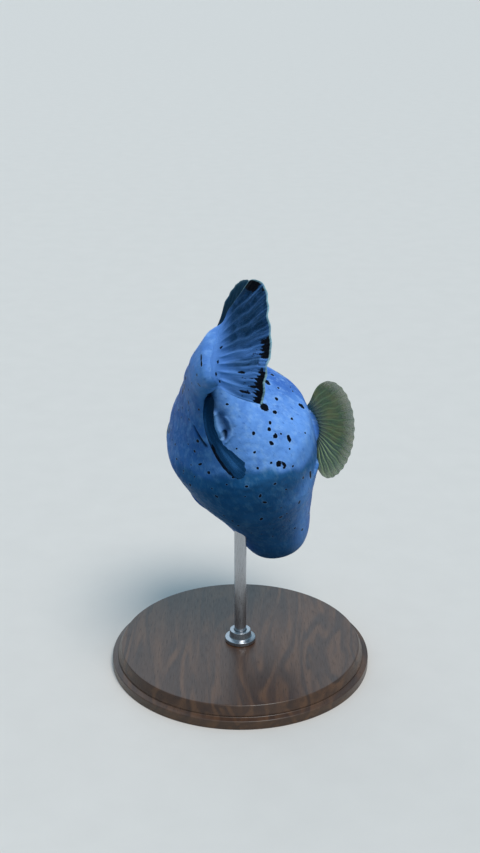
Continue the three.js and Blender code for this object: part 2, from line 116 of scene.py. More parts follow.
# The stand's outlines: (radius, height) in millimetres.
BASE_OUTLINE = [(1.5, 0), (76, 0), (76, 5.2), (72.8, 5.9), (72.8, 6.9), (70.4, 12), (1.5, 12)]
COLLAR_OUTLINE = [(3.8, 13.3), (3.8, 12.3), (9, 12.3), (9, 14.5), (6.6, 15), (6.1, 19.3), (3.8, 19.3),
                  (3.8, 13.3)]
ROD_CORE, ROD_RADIUS, ROD_BOTTOM = 1.5 * MM, 3.5 * MM, 12.3 * MM
ROD_FOOT = dict(t=0.2, angle=radians(222))   # the place on the throat that is above the stand's middle

# ---- the axis and the smooth body ----
STEPS, AXIS_LENGTH = 520, 1.3


def smooth(a, b, x):
    s = np.clip((x - a) / (b - a), 0, 1)
    return s * s * (3 - 2 * s)


def bell(x, width):
    """1 where x is 0, and almost nothing two widths away."""
    return np.exp(-(x / width) ** 2)


def lerp(a, b, s):
    return a + (b - a) * s


def unit(v):
    return v / np.maximum(np.linalg.norm(v, axis=-1, keepdims=True), 1e-12)


def dot(a, b):
    return (a * b).sum(-1)


def over(rows, columns):
    return np.meshgrid(rows, columns, indexing="ij")


def once_round(count):
    return np.linspace(0, 2 * pi, count, endpoint=False)


def turn_at(t):
    return BEND * smooth(BEND_FROM, CURL_END, t) + BOW * (smooth(0, 0.75, t) - 0.6)


def tailward(t):
    turn, rise = turn_at(t), -FLEX * smooth(FLEX_FROM, CURL_END, t)
    return np.stack([np.sin(turn) * np.cos(rise), -np.cos(turn) * np.cos(rise), np.sin(rise)], -1)


STEP = AXIS_LENGTH / STEPS
AXIS = np.vstack([np.zeros(3), np.cumsum(tailward((np.arange(STEPS) + 0.5) * STEP) * STEP * LENGTH, 0)])


def axis_at(t):
    x = np.clip(np.asarray(t, float) / STEP, 0, STEPS - 1e-6)
    i = x.astype(int)
    return lerp(AXIS[i], AXIS[i + 1], (x - i)[..., None])


def frame_at(t):
    """The axis's point and its tailward, right and up directions at t, from the fish's middle."""
    t = np.asarray(t, float)
    back, turn = tailward(t), turn_at(t)
    right = np.stack([np.cos(turn), np.sin(turn), 0 * turn], -1)
    start = axis_at(t) - axis_at(MIDDLE) + back * (np.minimum(t, 0) * LENGTH)[..., None]
    return start, back, right, np.cross(back, right)


def station_curve(column):
    """A smooth curve through one column of STATIONS that never overshoots them."""
    xs, ys = STATIONS[:, 0], STATIONS[:, column]
    h = np.diff(xs)
    slope = np.diff(ys) / h
    before, after = slope[:-1], slope[1:]
    same = before * after > 0
    w0, w1 = 2 * h[1:] + h[:-1], h[1:] + 2 * h[:-1]
    inner = (w0 + w1) / (w0 / np.where(same, before, 1) + w1 / np.where(same, after, 1))
    tangents = np.concatenate([slope[:1], np.where(same, inner, 0), slope[-1:]])

    def curve(t):
        x = np.clip(t, xs[0], xs[-1])
        i = np.clip(np.searchsorted(xs, x) - 1, 0, len(xs) - 2)
        s = (x - xs[i]) / h[i]
        s2, s3 = s * s, s * s * s
        return ((2 * s3 - 3 * s2 + 1) * ys[i] + (s3 - 2 * s2 + s) * h[i] * tangents[i]
                + (3 * s2 - 2 * s3) * ys[i + 1] + (s3 - s2) * h[i] * tangents[i + 1]) * LENGTH
    return curve


half_width, back_height, belly_depth = (station_curve(k) for k in (1, 2, 3))


def section(angle):
    """Sine and cosine of a squarish cross-section. angle runs from the back's midline to the fish's right."""
    c, s = np.cos(angle), np.sin(angle)
    r = (abs(c) ** SQUARENESS + abs(s) ** SQUARENESS) ** (-1 / SQUARENESS)
    return r * s, r * c


def girth(t, angle):
    """How far right of the axis and above it the body's surface is."""
    t, angle = np.broadcast_arrays(np.asarray(t, float), np.asarray(angle, float))
    across, high = section(angle)
    return t, across * half_width(t), high * np.where(high > 0, back_height(t), belly_depth(t))


def smooth_point(t, angle):
    t, wide, tall = girth(t, angle)
    point, _, right, up = frame_at(t)
    return point + right * wide[..., None] + up * tall[..., None]


def outward_at(t, angle):
    step = 0.004
    along = smooth_point(t + step, angle) - smooth_point(t - step, angle)
    around = smooth_point(t, angle + step) - smooth_point(t, angle - step)
    return unit(np.cross(along, around))


EYE_SEATS = {side: smooth_point(EYE["t"], side * EYE["angle"]) for side in SIDES.values()}


def eye_swell(points):
    near = np.min([np.linalg.norm(points - seat, axis=-1) for seat in EYE_SEATS.values()], axis=0)
    return EYE["bulge"] * bell(near, EYE["spread"])


def body_point(t, angle):
    p = smooth_point(t, angle)
    return p + outward_at(t, angle) * eye_swell(p)[..., None]


def straight_point(t, angle):
    """The same place on the fish if its axis were straight: patterns are laid out here."""
    t, wide, tall = girth(t, angle)
    return np.stack([wide, tall, t * LENGTH], -1)


# ---- from fish space to the row frame ----
def turned_about(axis, a):
    i, j = [(1, 2), (2, 0), (0, 1)][axis]
    m = np.eye(3)
    m[i, i] = m[j, j] = cos(a)
    m[i, j], m[j, i] = -sin(a), sin(a)
    return m


TURN = turned_about(2, YAW) @ turned_about(0, PITCH) @ turned_about(1, ROLL)
foot = TURN @ body_point(ROD_FOOT["t"], ROD_FOOT["angle"])
FISH_AT = np.array([-foot[0], -foot[1], MIDDLE_HEIGHT])


def place(points):
    return points @ TURN.T + FISH_AT


# ---- meshes ----
def spline(points, per):
    """A Catmull-Rom curve through points, with per steps to each stretch."""
    p = np.asarray(points, float)
    p = np.vstack([2 * p[0] - p[1], p, 2 * p[-1] - p[-2]])
    s = (np.arange(per) / per)[:, None]
    rows = []
    for a, b, c, d in zip(p, p[1:], p[2:], p[3:]):
        rows.append(0.5 * (2 * b + (c - a) * s + (2 * a - 5 * b + 4 * c - d) * s ** 2
                           + (3 * b - a - 3 * c + d) * s ** 3))
    return np.vstack([*rows, p[-2]])


def grid_quads(rows, columns):
    """Quads over points[row, column], whose columns join up, and the quads' map places.

    They face along row direction x column direction.
    """
    i, j = over(np.arange(rows - 1), np.arange(columns))
    corners = [(i, j), (i + 1, j), (i + 1, j + 1), (i, j + 1)]
    quads = np.stack([a * columns + b % columns for a, b in corners], -1).reshape(-1, 4)
    places = np.stack([np.stack([b / columns, a / (rows - 1)], -1) for a, b in corners], -2)
    return quads, places.reshape(-1, 4, 2)


def add_object(name, data):
    obj = bpy.data.objects.new(name, data)
    bpy.context.scene.collection.objects.link(obj)
    return obj


def new_piece(name, points, faces, places, material, slot, replaces, **attributes):
    """A smooth mesh object in the row frame that rides on the one body."""
    mesh = bpy.data.meshes.new(name)
    mesh.from_pydata(points.tolist(), [], faces)
    mesh.shade_smooth()
    for key, values in attributes.items():
        vector = values.ndim == 2
        layer = mesh.attributes.new(key, "FLOAT_VECTOR" if vector else "FLOAT", "POINT")
        layer.data.foreach_set("vector" if vector else "value", values.astype(np.float32).ravel())
    layer = mesh.uv_layers.new(name="OFBake")
    layer.data.foreach_set("uv", places.astype(np.float32).ravel())
    mesh.materials.append(material)
    obj = add_object(name, mesh)
    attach(obj, "root")
    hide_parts(*replaces)


def grid_piece(name, grid, material, slot, replaces, **attributes):
    """A closed skin over grid[row, column], whose columns join up and whose first and last rows are fans."""
    rows, columns = grid.shape[:2]
    quads, places = grid_quads(rows, columns)

    def with_ends(values):
        return np.vstack([values.reshape(rows * columns, -1), values[0].mean(0), values[-1].mean(0)])

    j = np.arange(columns)
    k, last_row, ends = (j + 1) % columns, (rows - 1) * columns, rows * columns + 0 * j
    start = np.stack([ends, j, k], -1)
    end = np.stack([last_row + j, ends + 1, last_row + k], -1)
    for key, values in attributes.items():
        attributes[key] = with_ends(values) if values.ndim > 2 else with_ends(values)[:, 0]
    places = np.vstack([places.reshape(-1, 2), np.zeros((2 * columns * 3, 2))])
    new_piece(name, with_ends(grid), quads.tolist() + start.tolist() + end.tolist(), places, material, slot,
              replaces, **attributes)


def ripple(points, wavelength, seed, count=24):
    """Smooth seeded unevenness, about -1 to 1, that repeats nowhere in sight."""
    rng = np.random.default_rng(seed)
    waves = unit(rng.normal(size=(count, points.shape[-1]))) * rng.uniform(0.6, 1.5, (count, 1))
    phases = rng.uniform(0, 2 * pi, count)
    total = sum(np.cos(2 * pi / wavelength * (points @ wave) + phase) for wave, phase in zip(waves, phases))
    return total / np.sqrt(count * 2)


def blurred(field, times):
    """A field over a grid whose columns join up, softened by neighbours' averages."""
    for _ in range(times):
        field = (np.roll(field, 1, 1) + 2 * field + np.roll(field, -1, 1)) / 4
        padded = np.concatenate([field[:1], field, field[-1:]])
        field = (padded[:-2] + 2 * padded[1:-1] + padded[2:]) / 4
    return field


def normals_of(grid):
    along = np.gradient(grid, axis=0)
    around = np.roll(grid, -1, 1) - np.roll(grid, 1, 1)
    return unit(np.cross(along, around))


# ---- materials ----
class Nodes:
    """The nodes of a material or world being written: each call adds a node and gives back its output."""

    def __init__(self, owner, shader):
        owner.use_nodes = True
        self.owner, self.tree = owner, owner.node_tree
        self.shader = self.tree.nodes[shader]

    def node(self, kind, out=0, inputs=None, **properties):
        n = self.tree.nodes.new(kind)
        for key, value in properties.items():
            setattr(n, key, value)
        for key, value in (inputs or {}).items():
            self.feed(n.inputs[key], value)
        return n.outputs[out]

    def feed(self, socket, value):
        if isinstance(value, bpy.types.NodeSocket):
            self.tree.links.new(value, socket)
        elif socket.type == "RGBA":
            socket.default_value = (*value[:3], 1)
        else:
            socket.default_value = value

    def set(self, **sockets):
        for key, value in sockets.items():
            self.feed(self.shader.inputs[key.replace("_", " ")], value)

    def attribute(self, name, out="Fac"):
        return self.node("ShaderNodeAttribute", out, attribute_name=name)

    def place(self, name=None, stretch=(1, 1, 1)):
        """Where a point is on the piece, or on the straight fish, with each axis stretched."""
        if name:
            at = self.attribute(name, "Vector")
        else:
            at = self.node("ShaderNodeTexCoord", "Object")
        return self.node("ShaderNodeVectorMath", inputs={0: at, 1: stretch}, operation="MULTIPLY")

    def noise(self, at, scale, detail=3, roughness=0.55, distortion=0):
        return self.node("ShaderNodeTexNoise", "Fac", {"Vector": at, "Scale": scale, "Detail": detail,
                                                       "Roughness": roughness, "Distortion": distortion})

    def cells(self, at, scale):
        return self.node("ShaderNodeTexVoronoi", "Distance", {"Vector": at, "Scale": scale})

    def math(self, operation, a, b=0.0, c=0.0, clamp=False):
        return self.node("ShaderNodeMath", inputs={0: a, 1: b, 2: c}, operation=operation, use_clamp=clamp)

    def times(self, a, b):
        return self.math("MULTIPLY", a, b)

    def range(self, value, low, high, to_low=0.0, to_high=1.0):
        return self.node("ShaderNodeMapRange", inputs={"Value": value, "From Min": low, "From Max": high,
                                                       "To Min": to_low, "To Max": to_high},
                         interpolation_type="SMOOTHSTEP")

    def mix(self, factor, a, b):
        n = self.tree.nodes.new("ShaderNodeMix")
        n.data_type = "RGBA"
        for index, value in ((0, factor), (6, a), (7, b)):
            self.feed(n.inputs[index], value)
        return n.outputs[2]

    def bump(self, height, distance, strength=1.0, normal=None):
        inputs = {"Height": height, "Distance": distance, "Strength": strength}
        if normal is not None:
            inputs["Normal"] = normal
        return self.node("ShaderNodeBump", inputs=inputs)


class Finish(Nodes):
    """A new material's nodes."""

    def __init__(self, name, **settings):
        super().__init__(bpy.data.materials.new(name), "Principled BSDF")
        self.set(**settings)


def srgb(r, g, b):
    """A colour given in screen values of 0 to 255, as the shader's linear numbers."""
    c = np.array([r, g, b]) / 255
    return tuple(float(x) for x in np.where(c <= 0.04045, c / 12.92, ((c + 0.055) / 1.055) ** 2.4))


BLUE, PALE_BLUE, DEEP_BLUE = srgb(84, 134, 212), srgb(117, 167, 239), srgb(54, 100, 182)
# The last colour here is the teal of the painted shade on the throat and the left flank.
INK, DARK, SHADE_TEAL = srgb(6, 11, 22), srgb(10, 34, 56), srgb(22, 96, 124)


def skin_finish():
    f = Finish("skin_blue", Specular_IOR_Level=0.06)
    body = f.place("straight")
    lengthwise = f.place("straight", (1, 1, 0.3))
    colour = f.mix(f.range(f.noise(body, 60, 4), 0.35, 0.68), DEEP_BLUE, BLUE)
    # The belly's own paler tone, and a painted highlight along the head's right edge.
    colour = f.mix(f.times(f.attribute("pale"), f.range(f.noise(body, 130, 3), 0.25, 0.6, 0.6, 1.0)),
                   colour, PALE_BLUE)
    colour = f.mix(f.times(f.range(f.noise(lengthwise, 330, 4, 0.65), 0.46, 0.7), 0.44),
                   colour, srgb(160, 200, 250))
    colour = f.mix(f.times(f.range(f.noise(lengthwise, 520, 3, 0.6), 0.56, 0.74), 0.5),
                   colour, srgb(46, 92, 168))
    # Painted shade in teal on the throat and the left flank.
    colour = f.mix(f.attribute("shade"), colour, SHADE_TEAL)
    # The dark marks of the mouth, eyelids, fin bases and gill slit, with painted shade in the folds' hollows
    # about the vent.
    shade = f.times(f.attribute("dark"), f.range(f.noise(body, 170, 3), 0.2, 0.7, 0.8, 1.0))
    colour = f.mix(shade, colour, DARK)
    # Painted highlight on the raised folds about the vent.
    colour = f.mix(f.times(f.attribute("crest"), 0.8), colour, srgb(150, 196, 255))
    ragged = f.math("MULTIPLY_ADD", f.noise(f.place("straight", (1, 1, 0.6)), 500, 4, 0.65), 1.5, -0.82)
    spot = f.math("ADD", f.attribute("spot"), ragged)
    colour = f.mix(f.times(f.range(spot, 1.8, 1.15), 0.3), colour, srgb(150, 190, 244))
    colour = f.mix(f.range(spot, 1.14, 0.9), colour, INK)
    prickle = f.range(f.cells(body, 720), 0.0, 0.32, 1.0, 0.0)
    wrinkle = f.noise(lengthwise, 360, 5, 0.62)
    fine = f.bump(f.times(prickle, f.attribute("rough")), 0.00012, 0.5)
    f.set(Base_Color=colour, Roughness=f.range(f.noise(body, 260, 2), 0.3, 0.7, 0.42, 0.56),
          Normal=f.bump(wrinkle, 0.0007, 0.6, fine))
    return f.owner


# ---- the skin ----
AROUND = 440
# How far apart the skin's rings are, in millimetres, at t: close where there is fine detail.
RING_SPACING = [(0.02, 0.34), (0.13, 0.40), (0.25, 0.45), (0.32, 0.34), (0.40, 0.38), (0.46, 0.60),
                (0.68, 0.60), (0.71, 0.42), (0.88, 0.42), (1.04, 0.5)]
# The snout's front, from inside the mouth out to the face: millimetres forward, half width, half height.
LIP_PROFILE = [(-6.0, 3.4, 1.6), (-3.0, 4.6, 2.5), (0.2, 5.0, 2.9), (1.7, 5.7, 3.6), (2.55, 7.2, 5.2),
               (2.5, 8.9, 6.9), (1.5, 10.6, 8.6), (0.0, 11.9, 9.9), (-1.4, 13.6, 11.5)]
FACE_FROM = 0.02


def skin_rings():
    """Each ring's t, half width, back height and belly depth."""
    lips = np.array([(-forward * MM / LENGTH, w * MM, h * MM, h * MM) for forward, w, h in LIP_PROFILE])
    t = [FACE_FROM]
    xs, spacing = np.transpose(RING_SPACING)
    while t[-1] < TAIL_END:
        t.append(t[-1] + np.interp(t[-1], xs, spacing) * MM / LENGTH)
    t = np.array(t)
    body = np.stack([t, half_width(t), back_height(t), belly_depth(t)], -1)
    mouth = spline(np.vstack([lips, body[0]]), 7)[:-1]
    s = np.linspace(0, 1, 9)[1:-1]
    end = body[-1] * np.stack([1 + 0.008 * np.sin(s * pi / 2), np.cos(s * pi / 2),
                               1 - 0.10 * s ** 2, 1 - 0.10 * s ** 2], -1)
    return np.vstack([mouth, body, end])


def ellipsoid_height(points, outward, centre, axes, radii):
    """How far outward from each point the ellipsoid's far side is, or 0 where it is missed."""
    scale = np.asarray(axes) / np.asarray(radii)[:, None]
    p, d = (points - centre) @ scale.T, outward @ scale.T
    a, b, c = dot(d, d), dot(p, d), dot(p, p) - 1
    inside = np.maximum(b * b - a * c, 0)
    return np.where(b * b > a * c, np.maximum((-b + np.sqrt(inside)) / a, 0), 0)


def seat_on_skin(part, side):
    """A paired part's seat, the way out of the skin there, and the axis's tailward and up directions."""
    t, angle = part["t"], side * part["angle"]
    _, back, _, up = frame_at(t)
    return body_point(t, angle), outward_at(t, angle), back, up


def pectoral_base(fin):
    """A side fin's seat and its directions: up its base, out along it, and through its thickness."""
    seat, out, back, up = seat_on_skin(PECTORAL, fin["side"])
    high = unit(up + back * tan(PECTORAL["tilt"]) - out * dot(up, out))
    behind = unit(np.cross(out, high) * fin["side"])
    reach_out = out * cos(fin["sweep"]) + behind * sin(fin["sweep"])
    return seat, high, reach_out, np.cross(high, reach_out)


def fin_bases(grid, outward):
    """How far the dorsal fin's fleshy hump and the side fins' stubs stand out from each point."""
    first, last = MEDIAN_FINS["dorsal"]["t"]
    middle, more = (first + last) / 2, 1.15
    _, _, right, up = frame_at(middle)
    radii = (MEDIAN["root"] * more, (last - first) * LENGTH / 2 * more, MEDIAN["hump"])
    hump = ellipsoid_height(grid, outward, body_point(middle, 0), (right, np.cross(up, right), up), radii)
    radii = (PECTORAL["root"] + 0.8 * MM, PECTORAL["base"] / 2, PECTORAL["stub"])
    stubs = []
    for fin in PECTORAL_SET.values():
        seat, high, reach_out, depth = pectoral_base(fin)
        stubs.append(ellipsoid_height(grid, outward, seat, (depth, high, reach_out), radii))
    return hump, np.max(stubs, axis=0)


def gill_cover(t, angle):
    """The height of a low crescent and the strength of the deep slit behind it."""
    u = (abs(angle) - GILL["angle"][0]) / (GILL["angle"][1] - GILL["angle"][0])
    v = (t - GILL["t"][0] + GILL["arc"] * (2 * u - 1) ** 2) / (GILL["t"][1] - GILL["t"][0])
    inside = np.sqrt(np.clip(np.sin(pi * np.clip(u, 0, 1)), 0, 1))
    crescent = np.where((v > 0) & (v < 0.85), np.sin(pi / 2 * np.clip(v / 0.8, 0, 1)), 0)
    return blurred(GILL["height"] * inside * crescent, 1), inside * bell(v - 1, 0.11)


def eye_axes(side):
    """An eyeball's centre, the way it faces, the tailward direction there, and the one across both."""
    out, back = outward_at(EYE["t"], side * EYE["angle"]), frame_at(EYE["t"])[1]
    return EYE_SEATS[side] - out * EYE["depth"], out, back, unit(np.cross(out, back))


def with_eyelid(grid, side):
    """The grid with a lid raised round an eye and dipped under the eyeball inside it, and the lid's rim."""
    ball, opening, blend, under = EYE["radius"] + 0.6 * MM, 5.4 * MM, 0.6 * MM, 1.0 * MM
    centre, out, back, across = eye_axes(side)
    d = grid - centre
    level = dot(d, out)
    flat = d - out * level[..., None]
    oval = np.sqrt((dot(flat, back) * 0.95) ** 2 + (dot(flat, across) * 1.06) ** 2)
    near = (oval < 14 * MM) & (level > 0)
    lid = np.where(oval < ball, np.sqrt(np.maximum(ball ** 2 - oval ** 2, 0)), -9 * MM)
    raised = np.logaddexp(level / blend, lid / blend) * blend
    target = lerp(raised, under, smooth(opening, opening - 0.9 * MM, oval))
    grid = np.where(near[..., None], flat + out * target[..., None] + centre, grid)
    return grid, np.where(near, bell(oval - opening, 1.6 * MM), 0)


def with_nostril(grid, side):
    """The grid with a flap that forks into a front and a back leaf."""
    seat, out, back, _ = seat_on_skin(NOSTRIL, side)
    forward = unit(np.cross(np.cross(out, back), out))
    d = grid - seat
    ahead = dot(d, forward)
    away = np.sqrt(ahead ** 2 + (dot(d, np.cross(out, forward)) * 1.25) ** 2)
    tall = NOSTRIL["length"] * np.exp(-(away / (NOSTRIL["radius"] * 1.25)) ** 4)
    tall = tall * (0.4 + 0.6 * smooth(0.05 * MM, 0.75 * MM, abs(ahead)))
    lean = NOSTRIL["fork"] * 1.3 * np.tanh(ahead / (0.5 * MM))
    push = out * np.cos(lean)[..., None] + forward * np.sin(lean)[..., None]
    return grid + np.where(dot(d, out) > -3 * MM, tall, 0)[..., None] * push


def spot_field(straight, spots):
    """Distance from the nearest spot's middle, as a share of its size: under 1 inside a spot."""
    field = np.full(straight.shape[:-1], 3.0)
    for t, angle, long, wide, tilt in spots:
        centre = straight_point(t, angle)
        around = unit(straight_point(t, angle + 0.01) - straight_point(t, angle - 0.01))
        d = straight - centre
        close = (abs(d) < 4 * long).all(-1)
        along, across = d[close][:, 2], dot(d[close], around)
        depth2 = np.maximum(dot(d[close], d[close]) - along ** 2 - across ** 2, 0)
        a = (cos(tilt) * along + sin(tilt) * across) / long
        b = (cos(tilt) * across - sin(tilt) * along) / wide
        field[close] = np.minimum(field[close], np.sqrt(a * a + b * b + depth2 / wide ** 2))
    return field


# The spots placed one by one, most of them where the photo shows them: t, angle in degrees, then length and
# width in millimetres.
PLACED_SPOTS = [
    (0.682, 115, 7, 4.2), (0.64, 99.5, 2.8, 2), (0.647, 114.5, 4.5, 2), (0.654, 127, 2.5, 1.8),
    (0.65, 133, 3.2, 2), (0.683, 147, 2.5, 2), (0.624, 135.5, 2.8, 2.8), (0.612, 131, 1.6, 1),
    (0.621, 143, 3.6, 2), (0.583, 130, 4.5, 2.5), (0.593, 113, 2.2, 1.7), (0.558, 94.5, 5, 2.8),
    (0.542, 117.5, 1.7, 1.1), (0.637, 160, 1.7, 1.7), (0.557, 151, 3.6, 2.8), (0.544, 148, 6, 1.7),
    (0.535, 149.5, 2, 1.3), (0.574, 155, 2, 1.4), (0.514, 143, 1.7, 1.4), (0.5, 161, 2.2, 1.7),
    (0.539, -179, 2.2, 1.7), (0.546, -151.5, 1.1, 1.1), (0.561, -164.5, 1.1, 1.1), (0.657, -131.5, 2, 1.4),
    (0.583, -112.5, 2, 1.1), (0.561, -123.5, 1.2, 1), (0.573, -136, 1.2, 1), (0.34, 146, 4.2, 1.4),
    (0.319, 166, 2.8, 2), (0.324, 160, 2, 1.1), (0.184, 151.5, 2, 1.4), (0.241, 166, 1.2, 1.2),
    (0.357, -152, 2.2, 1.1), (0.245, -158, 1.7, 1.1), (0.23, -168, 1.2, 1.1), (0.198, -179, 1.2, 1.1),
    (1.002, -92, 1.2, 3.6), (1.004, -105.5, 1.1, 3.2), (0.93, 20, 2, 1.4), (0.9, -30, 2, 1.4),
    (0.95, 60, 1.8, 1.4), (0.628, 85.5, 2.8, 1.2), (0.579, 77, 1.1, 1.1), (0.577, 81.5, 1.1, 1.1),
    (0.564, 136.5, 1.4, 1), (0.375, 163.5, 1.2, 1), (0.249, 176.5, 1, 1), (0.297, 178, 1, 1),
    (0.494, -174.5, 1.2, 1), (0.691, -87, 2, 1), (0.721, -94, 2, 1), (0.756, -109.5, 1.2, 1),
    (0.696, -98.5, 2.2, 1), (0.733, -115, 3.4, 1), (0.646, -79, 1.2, 1), (0.611, -88, 1.4, 1),
    (0.6, -96, 1.4, 1), (0.66, -121, 1.2, 1), (0.608, -131, 1.4, 1), (0.57, -124, 1.4, 1),
    (0.948, -147, 1.2, 2.2), (0.899, -122, 1.4, 1), (0.678, 174.5, 1.2, 1), (0.39, 126, 7, 2.2),
]
SEEDED_SPOTS = 150


def all_spots():
    """Each spot's t, angle, half length, half width and tilt: the placed ones, then seeded small ones."""
    rng = np.random.default_rng(11)
    spots = [(t, radians(a), l / 2 * MM, w / 2 * MM, rng.normal(0, 0.2)) for t, a, l, w in PLACED_SPOTS]
    middles = [straight_point(t, a) for t, a, *_ in spots]
    while len(spots) < len(PLACED_SPOTS) + SEEDED_SPOTS:
        t, angle = rng.uniform(0.07, 1.0), rng.uniform(-pi, pi)
        above = cos(angle) > 0.1
        size = rng.uniform(0.45, 0.95) * (1.7 if above and t < 0.85 else 1.0)
        stretch, tilt = rng.uniform(1.2, 2.4), rng.normal(0, 0.35)
        here = straight_point(t, angle)
        by_vent = abs(t - 0.75) < 0.06 and cos(angle) < -0.9
        if not above and (rng.uniform() > 0.18 or by_vent):
            continue
        if min(np.linalg.norm(here - p) for p in middles) > (4.5 + 2 * size) * MM:
            middles.append(here)
            spots.append((t, angle, size * stretch * MM, size * MM, tilt))
    return spots


# Folds of the skin about the vent, their darkness painted shade in the hollows (with the vent's own dark in
# its pit) and their
# paleness painted highlight on the ridges: height and the half widths at each end in millimetres, how dark
# and how pale, and the line of each through (t, angle in degrees).
FOLDS = [
    # Painted shade in the groove behind the anal fin, under the tail stalk.
    (-2.7, 2.6, 1.4, 1.2, 0, [(0.877, 159.5), (0.846, 173.5), (0.823, 183), (0.804, 195)]),
    (1.7, 1.3, 1.1, 0, 1.5, [(0.803, 182.5), (0.766, 188), (0.738, 187), (0.718, 188)]),
    (-1.7, 3.1, 2.9, 0.72, 0, [(0.787, 174), (0.762, 173), (0.742, 173)]),
    (0.7, 0.9, 0.9, 0, 0.5, [(0.774, 165), (0.759, 164.5), (0.734, 168), (0.72, 173), (0.708, 183.5)]),
    (-2.6, 1.7, 1.9, 2.0, 0, [(0.733, 181.5), (0.722, 185.5)]),
    (-0.9, 0.5, 1.1, 1.3, 0, [(0.733, 233.5), (0.715, 224), (0.695, 213.5)]),
    (0.3, 0.6, 0.5, 0, 0.5, [(0.777, 211), (0.794, 197), (0.81, 183)]),
    # A painted shadow of the tail stalk on the skin between the stalk and the vent.
    (0.0, 5.5, 4.5, 0.4, 0, [(0.842, 163), (0.815, 165), (0.795, 168)]),
]


def folds(straight):
    """Height, darkness and paleness of the folds at each place on the straight fish: painted shade in the
    hollows and painted highlight on the ridges.
    """
    height, dark, pale = np.zeros((3, *straight.shape[:2]))
    for lift, start, end, darkness, paleness, path in FOLDS:
        line = np.array([straight_point(t, radians(a)) for t, a in path])
        near = np.linalg.norm(straight - line.mean(0), axis=-1) < 25 * MM
        p, closest = straight[near], np.full(near.sum(), 9.0)
        for i, (a, b) in enumerate(zip(line, line[1:])):
            k = np.clip(dot(p - a, b - a) / dot(b - a, b - a), 0, 1)
            away = np.linalg.norm(p - a - (b - a) * k[:, None], axis=-1)
            closest = np.minimum(closest, away / (lerp(start, end, (i + k) / (len(line) - 1)) * MM))
        weight = bell(closest, 1)
        height[near] += lift * MM * weight
        dark[near] = np.maximum(dark[near], darkness * weight)
        pale[near] = np.maximum(pale[near], paleness * weight)
    return height, np.minimum(dark, 1), np.minimum(pale, 1)


def skin():
    """The body's skin: one closed surface for all the flesh, with what its colours follow."""
    rings = skin_rings()
    t, angle = over(rings[:, 0], np.linspace(-pi, pi, AROUND, endpoint=False))
    point, _, right, up = (v[:, None] for v in frame_at(rings[:, 0]))
    across, high = section(angle)
    wide = across * rings[:, 1:2]
    tall = high * np.where(high > 0, rings[:, 2:3], rings[:, 3:4])
    grid = point + right * wide[..., None] + up * tall[..., None]
    straight = np.stack([wide, tall, t * LENGTH], -1)
    outward = normals_of(grid)
    grid = grid + outward * eye_swell(grid)[..., None]

    hump, stub = fin_bases(grid, outward)
    cover, slit = gill_cover(t, angle)
    # groove carries the folds' painted shade, and crest their painted highlight.
    lift, groove, crest = folds(straight)
    height = blurred(np.maximum(hump, stub), 6) + cover - 2.2 * MM * slit + lift
    # Slight unevenness, less on the face.
    calm = smooth(0.0, 0.3, t) * 0.8 + 0.2
    height = height + (0.35 * ripple(straight, 26 * MM, 1) + 0.10 * ripple(straight, 6 * MM, 2)) * MM * calm
    grid = grid + outward * height[..., None]
    # The lips meet in a crease at each corner of the mouth.
    lips = smooth(-0.010, 0.002, -t + 0.004) * smooth(0.02, 0.008, t)
    corner = bell(abs(angle) - pi / 2, radians(6)) * lips
    grid = grid - outward * (corner * MM)[..., None]
    lid_rims = []
    for side in SIDES.values():
        grid, rim = with_eyelid(grid, side)
        lid_rims.append(rim)
    for side in SIDES.values():
        grid = with_nostril(grid, side)

    # Dark marks of the mouth, the side fins' bases, the eyelids' rims and the gill slit, with the folds'
    # painted shade.
    dark = smooth(0.022, 0.004, t) * 0.95 + 0.28 * smooth(0.14, 0.03, t)
    dark = np.maximum(dark, smooth(0.3 * MM, 2.6 * MM, blurred(stub, 10)) * 0.75)
    dark = np.max([dark, 0.7 * np.max(lid_rims, axis=0), slit * 0.9, groove], axis=0)
    pale, shade = skin_shades(t, angle, straight)
    flesh = ["head", "trunk", "tail_stalk", "vent", "lip_upper", "lip_lower", "dorsal_fin_base",
             "anal_fin_base"]
    flesh += [f"{piece}_{side}" for piece in ("gill_cover", "nostril", "pectoral_base") for side in SIDES]
    grid_piece("skin", place(grid), skin_finish(), "skin", flesh, straight=straight,
               spot=spot_field(straight, all_spots()), dark=np.clip(dark, 0, 1), pale=pale, shade=shade,
               crest=crest, rough=smooth(0.06, 0.2, t) * smooth(0.9, 0.75, t))


def skin_shades(t, angle, straight):
    """How pale the skin is, with a painted highlight on the head's right edge, and how much painted shade the
    throat and the left flank take.
    """
    level, around = np.cos(angle), angle % (2 * pi)
    # Painted shade: the throat is darker than the swollen belly, from a line that rises towards the left.
    throat_from = lerp(0.455, 0.60, smooth(radians(120), radians(178), around))
    throat = smooth(throat_from + 0.012, throat_from - 0.03, t + 0.012 * ripple(straight, 14 * MM, 7))
    broad = smooth(0.25, 0.42, t)
    throat = throat * smooth(lerp(-0.55, -0.05, broad), lerp(-0.95, -0.65, broad), level) * 0.62
    belly = smooth(0.45, -0.5, level) * (1 - throat * 1.6) * smooth(0.4, 0.5, t)
    stalk = smooth(0.86, 0.98, t) * 0.85
    # A painted highlight along the head's right edge, where the light falls.
    cheek = smooth(0.0, 0.06, t) * smooth(0.46, 0.36, t) * bell(around - radians(137), radians(18))
    # Painted shade on the left flank, which is turned from the light: less pale, and some of the teal shade.
    flank = smooth(radians(190), radians(225), around) * smooth(radians(335), radians(290), around)
    flank = flank * smooth(0.34, 0.44, t) * smooth(0.95, 0.8, t)
    pale = np.max([belly, stalk, cheek], axis=0) * (1 - 0.8 * flank)
    return np.clip(pale, 0, 1), np.maximum(throat * (1 - 0.85 * cheek), 0.22 * flank)


